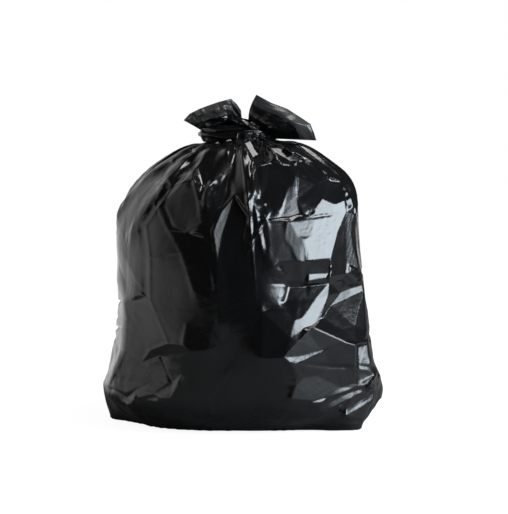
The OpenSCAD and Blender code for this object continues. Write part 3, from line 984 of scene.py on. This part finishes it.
# The two free ends above the knot. Each is a flattened stretch of the tube, fanned out of the knot.
# Roots and mouths are pixels of the photograph, from one edge of the end to the other. Depth, forward,
# bulge, edge, pleatDepth, rough and facet are in metres, ridge is a share of the width and rim of the
# height: the share at the mouth that is painted paler, a painted sheen.
ears = {
    "left_end": {
        "root": [(203, 131), (214, 130), (228, 129), (243, 128)],
        "mouth": [(184, 120), (190, 113.5), (201, 108), (218, 102), (231, 98.5), (237, 104), (241, 110)],
        "depth": -0.012, "forward": 0.004, "bulge": 0.012, "ridge": 0.5, "edge": 0.0,
        "pleats": 4, "pleatDepth": 0.003, "rough": 0.0075, "facet": 0.018, "rim": 0.5, "seed": 4},
    "right_end": {
        "root": [(249, 125), (253, 127), (258, 131), (262, 138)],
        "mouth": [(256.5, 94.5), (271, 102.5), (287, 108.5), (298, 115.5), (310, 123.5), (313.5, 132),
                  (316, 140)],
        "depth": -0.014, "forward": 0.012, "bulge": 0.017, "ridge": 0.62, "edge": -0.006,
        "pleats": 3, "pleatDepth": 0.002, "rough": 0.0016, "facet": 0.026, "rim": 0.3, "seed": 9},
    "along": 90,
    "across": 130,
    "tall": 0.06,            # an end's rough height and width in metres, over which its creases lie
    "wide": 0.08,
    "openUp": (0, 0.35),     # shares of the height over which it opens out
    "pleatStart": (0.02, 0.3),     # over which its pleats set in
    "pleatFade": 0.3,        # how much shallower they are at the mouth
    "pleatBend": 0.5,        # how far they wander, in radians
    "bendSize": 1.5,
    "crown": 0.5,            # how round the bulge's ridge is
    "shutUp": (0.75, 1.0),   # shares of the height over which the bulge goes down again
    "mouthEdge": 0.93,       # the share above which the two layers come together
    "sideEdge": 0.06,        # the same along the two sides, as a share of the width
    "edgeNarrow": 3,         # how close to its own side an edge's bow stays
    "halfGap": 0.001,        # half the space between the two layers, in metres
    "leastGap": 0.0006,      # and the least space between them
    "shutTop": 0.8,          # how far the mouth is closed
    "backBulge": 0.5,        # the back's bulge as a share of the front's
    "rimEdge": 0.01,         # how softly the paler rim, a painted sheen, begins
}


def evenly(line, count):
    # that many points spread evenly along a line of pixels
    line = np.asarray(line, float)
    run = np.concatenate([[0], np.cumsum(np.linalg.norm(np.diff(line, axis=0), axis=1))])
    place = np.linspace(0, run[-1], count)
    return np.stack([np.interp(place, run, line[:, k]) for k in (0, 1)], axis=-1)


def makeEnd(name, ear):
    # a front and a back layer of film, closed along both edges and at the mouth
    rows, across = ears["along"], ears["across"]
    u = np.linspace(0, 1, rows + 1)[:, None]
    v = np.linspace(0, 1, across + 1)[None, :]
    root = evenly(ear["root"], across + 1)
    mouth = evenly(ear["mouth"], across + 1)
    flat = root[None] * (1 - u[..., None]) + mouth[None] * u[..., None]
    flat[..., 0] += ear["edge"] / pixel * (4 * u * (1 - u)) * (1 - v) ** ears["edgeNarrow"]
    base = fromPixels(flat[..., 0], flat[..., 1], 0.0)
    layers = []
    ridge = ear["ridge"]
    for front in (1, -1):
        crest = np.clip(1 - np.abs(v - ridge) / np.where(v < ridge, ridge, 1 - ridge), 0, 1)
        opening = smooth(u, *ears["openUp"]) * (1 - smooth(u, *ears["shutUp"]) * ears["shutTop"])
        crown = (1 - ears["crown"]) * crest + ears["crown"] * smooth(crest)
        bulge = ear["bulge"] * crown * opening
        bulge = bulge * (1.0 if front > 0 else ears["backBulge"])
        bend = ears["pleatBend"] * waves(v * 2 + u, u, ears["bendSize"], ear["seed"]) + front
        pleat = np.abs(np.sin(math.pi * v * ear["pleats"] + bend)) - 0.5
        pleat = pleat * ear["pleatDepth"] * smooth(u, *ears["pleatStart"]) * (1 - ears["pleatFade"] * u)
        creases = crumple(u * ears["tall"], v * ears["wide"], ear["facet"], ear["seed"] + 3 * front)
        rough = ear["rough"] * creases
        hold = smooth(v, 0, ears["sideEdge"]) * (1 - smooth(v, 1 - ears["sideEdge"], 1))
        hold = hold * (1 - smooth(u, ears["mouthEdge"], 1.0))
        y = ear["depth"] - ear["forward"] * u - front * (ears["halfGap"] + bulge * hold) - (pleat + rough)
        if front > 0:
            edge = ear["depth"] - ear["forward"] * u - (pleat + rough)
            y = y * hold + edge * (1 - hold)
        else:
            y = np.maximum(y, layers[0][..., 1] + ears["leastGap"] * hold)
        layer = base.copy()
        layer[..., 1] = y
        layers.append(layer)
    front, back = layers
    shut = np.ones(front.shape[:2], bool)
    shut[:, 1:-1] = False
    shut[-1] = True
    back[shut] = front[shut]
    points = np.concatenate([front, back[:, -2:0:-1]], axis=1)
    # the outer share of the end, where the colour is painted paler as a painted sheen and the film is
    # rougher
    rim = smooth(u + 0 * v, 1 - ear["rim"] - ears["rimEdge"], 1 - ear["rim"] + ears["rimEdge"])
    rim = np.concatenate([rim, rim[:, -2:0:-1]], axis=1)
    closing = np.broadcast_to(points[0].mean(axis=0), points[:1].shape)
    return gridPiece(name, np.concatenate([closing, points]), {"rim": np.concatenate([rim[:1], rim])})


settled = settle(makeBody())
fine, dull = sculpt(refine(settled))
top = np.broadcast_to(fine[-1].mean(axis=0), fine[-1:].shape)
bodyPiece = gridPiece("body_film", np.concatenate([fine, top]), {"dull": np.concatenate([dull, dull[-1:]])})
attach(bodyPiece, "root")
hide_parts("tied_bag")

upperPieces = [makeBand(name, band) for name, band in knot["bands"].items()]
upperPieces += [makeEnd(name, ears[name]) for name in ("left_end", "right_end")]
for piece in upperPieces:
    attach(piece, "root")
    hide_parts("tied_bag")


class Wire:
    # a shader socket on which sums add Math nodes
    def __init__(self, tree, socket=None):
        self.tree = tree
        self.socket = socket

    def node(self, kind, settings, sockets, output=0):
        made = self.tree.nodes.new(kind)
        for name, value in settings.items():
            setattr(made, name, value)
        for name, value in sockets.items():
            if isinstance(value, Wire):
                self.tree.links.new(value.socket, made.inputs[name])
            else:
                made.inputs[name].default_value = value
        return Wire(self.tree, made.outputs[output])

    def math(self, operation, *values):
        return self.node("ShaderNodeMath", {"operation": operation}, dict(enumerate(values)))

    def __add__(self, other):
        return self.math("ADD", self, other)

    def __radd__(self, other):
        return self.math("ADD", other, self)

    def __sub__(self, other):
        return self.math("SUBTRACT", self, other)

    def __rsub__(self, other):
        return self.math("SUBTRACT", other, self)

    def __mul__(self, other):
        return self.math("MULTIPLY", self, other)

    def __rmul__(self, other):
        return self.math("MULTIPLY", other, self)


# The film: thin, black and glossy, and duller where it has been stretched or rubbed.
film = {
    "colour": (0.005, 0.005, 0.0055, 1),
    "gloss": 0.2,                # the roughness of the smooth film
    "dull": 0.25,                # and how much more of it the dullest has
    "patches": 0.04,             # how much the roughness varies from place to place
    "patchSize": 9,              # patches to a metre
    "patchDetail": 3.0,          # how many finer layers they have
    "paintedSheenColour": (0.042, 0.042, 0.042, 1),   # painted sheen: a paler colour on the outer part of the free ends
    "rimGloss": 0.15,            # where the film is less glossy too
    "grain": 130,                # the finest wrinkles, to a metre
    "grainDetail": 2.0,
    "grainHeight": 0.00025,      # in metres
}


def makeFilm():
    material = bpy.data.materials.new("film")
    material.use_nodes = True
    tree = material.node_tree
    shader = tree.nodes["Principled BSDF"]
    wire = Wire(tree)
    dull = wire.node("ShaderNodeAttribute", {"attribute_name": "dull"}, {}, "Fac")
    rim = wire.node("ShaderNodeAttribute", {"attribute_name": "rim"}, {}, "Fac")
    place = wire.node("ShaderNodeTexCoord", {}, {}, "Object")
    patch = wire.node("ShaderNodeTexNoise", {},
                      {"Vector": place, "Scale": film["patchSize"], "Detail": film["patchDetail"]})
    roughness = film["gloss"] + dull * film["dull"] + rim * film["rimGloss"]
    roughness = roughness + (patch - 0.5) * film["patches"]
    tree.links.new(roughness.socket, shader.inputs["Roughness"])
    # the rim of the free ends gets the paler colour of a painted sheen
    # a mix of colours has them in sockets 6 and 7 and gives the result in 2
    colour = wire.node("ShaderNodeMix", {"data_type": "RGBA"},
                       {0: rim, 6: film["colour"], 7: film["paintedSheenColour"]}, 2)
    tree.links.new(colour.socket, shader.inputs["Base Color"])
    grain = wire.node("ShaderNodeTexNoise", {},
                      {"Vector": place, "Scale": film["grain"], "Detail": film["grainDetail"]})
    bump = wire.node("ShaderNodeBump", {},
                     {"Height": grain, "Distance": film["grainHeight"], "Strength": 1.0})
    tree.links.new(bump.socket, shader.inputs["Normal"])
    return material


black = makeFilm()
for piece in [bodyPiece] + upperPieces:
    piece.data.materials.append(black)
print("film on", len(upperPieces) + 1, "pieces")


# The studio: a white sweep behind and to the left of the sack, and a dark room in front of it.
studio = {
    "paper": (0.3, 0.3, 0.3, 1),
    "paperRough": 0.9,
    "paperGlow": 0.92,           # how white the paper is seen
    "paperHalf": 6,              # half the floor's size, in metres
    "room": 0.25,                # strength of the soft light from all round
    "gloom": 0.02,               # what the film mirrors of the dark room in front
    "sweep": (-0.91, 0.42, 0.0),  # the way to the middle of the white sweep
    "sweepEdge": (0.34, 0.82),   # cosines from that way at which the white begins and is full
    "sweepFloor": (0.34, 0.64),  # metres that way at which the white floor begins and is full
    "aim": (0, 0, 0.3),          # the place that the lamps point at
    # the place, size, power and colour of each lamp
    "lamps": {
        "window": ((1.8, -0.6, 0.75), (1.4, 0.6), 43, (0.82, 0.92, 1.0)),
        "softbox": ((-1.6, -1.5, 1.9), (0.8, 0.8), 1, (1, 1, 1)),
        "overhead": ((0.6, -0.1, 2.2), (0.8, 0.6), 16, (1, 1, 1)),
    },
}


def whiteSeen(wire, coordinates, edge):
    # how white a ray sees it: all white for the camera and through glass, the sweep alone in gloss
    rays = wire.node("ShaderNodeLightPath", {}, {}).socket.node
    direct, glossy, through = [Wire(wire.tree, rays.outputs[name]) for name in
                               ("Is Camera Ray", "Is Glossy Ray", "Is Transmission Ray")]
    place = wire.node("ShaderNodeTexCoord", {}, {}, coordinates)
    along = wire.node("ShaderNodeVectorMath", {"operation": "DOT_PRODUCT"},
                      {0: place, 1: studio["sweep"]}, 1)
    # sockets 1 and 2 are where the white begins and is full, and 3 and 4 how white it is there
    sweep = wire.node("ShaderNodeMapRange", {"interpolation_type": "SMOOTHSTEP"},
                      {0: along, 1: edge[0], 2: edge[1], 3: 0.0, 4: 1.0})
    return wire.math("MAXIMUM", wire.math("MAXIMUM", direct, through), glossy * sweep), glossy


def makeWorld():
    world = bpy.data.worlds.new("world")
    scene.world = world
    world.use_nodes = True
    tree = world.node_tree
    white, glossy = whiteSeen(Wire(tree), "Generated", studio["sweepEdge"])
    dim = studio["room"] + glossy * (studio["gloom"] - studio["room"])
    strength = dim + white * (1 - dim)
    back = tree.nodes["Background"]
    back.inputs[1].default_value = 1
    tree.links.new(strength.socket, back.inputs[0])


def makeFloor():
    bm = bmesh.new()
    bmesh.ops.create_grid(bm, x_segments=1, y_segments=1, size=studio["paperHalf"])
    mesh = bpy.data.meshes.new("floor")
    bm.to_mesh(mesh)
    bm.free()
    floor = bpy.data.objects.new("floor", mesh)
    scene.collection.objects.link(floor)
    paper = bpy.data.materials.new("paper")
    paper.use_nodes = True
    tree = paper.node_tree
    sheet = tree.nodes["Principled BSDF"]
    sheet.inputs["Base Color"].default_value = studio["paper"]
    sheet.inputs["Roughness"].default_value = studio["paperRough"]
    sheet.inputs["Emission Strength"].default_value = 1
    white, glossy = whiteSeen(Wire(tree), "Object", studio["sweepFloor"])
    glow = white * studio["paperGlow"]
    tree.links.new(glow.socket, sheet.inputs["Emission Color"])
    floor.data.materials.append(paper)


def makeLamps():
    for name, (place, size, power, colour) in studio["lamps"].items():
        data = bpy.data.lights.new(name, "AREA")
        data.shape = "RECTANGLE"
        data.size, data.size_y = size
        data.energy = power
        data.color = colour
        obj = bpy.data.objects.new(name, data)
        obj.location = place
        away = Vector(place) - Vector(studio["aim"])
        obj.rotation_euler = away.to_track_quat("Z", "Y").to_euler()
        obj.visible_camera = False
        scene.collection.objects.link(obj)


def makeCamera():
    camera = bpy.data.objects.new("camera", bpy.data.cameras.new("camera"))
    scene.collection.objects.link(camera)
    scene.camera = camera
    camera.data.lens = view["focal"] / view["height"] * view["sensor"]
    camera.data.sensor_width = view["sensor"]
    camera.location = viewPlace
    camera.rotation_euler = Vector(viewBack).to_track_quat("Z", "Y").to_euler()


makeWorld()
makeFloor()
makeLamps()
makeCamera()
scene.view_settings.view_transform = "Standard"
print("studio lit")
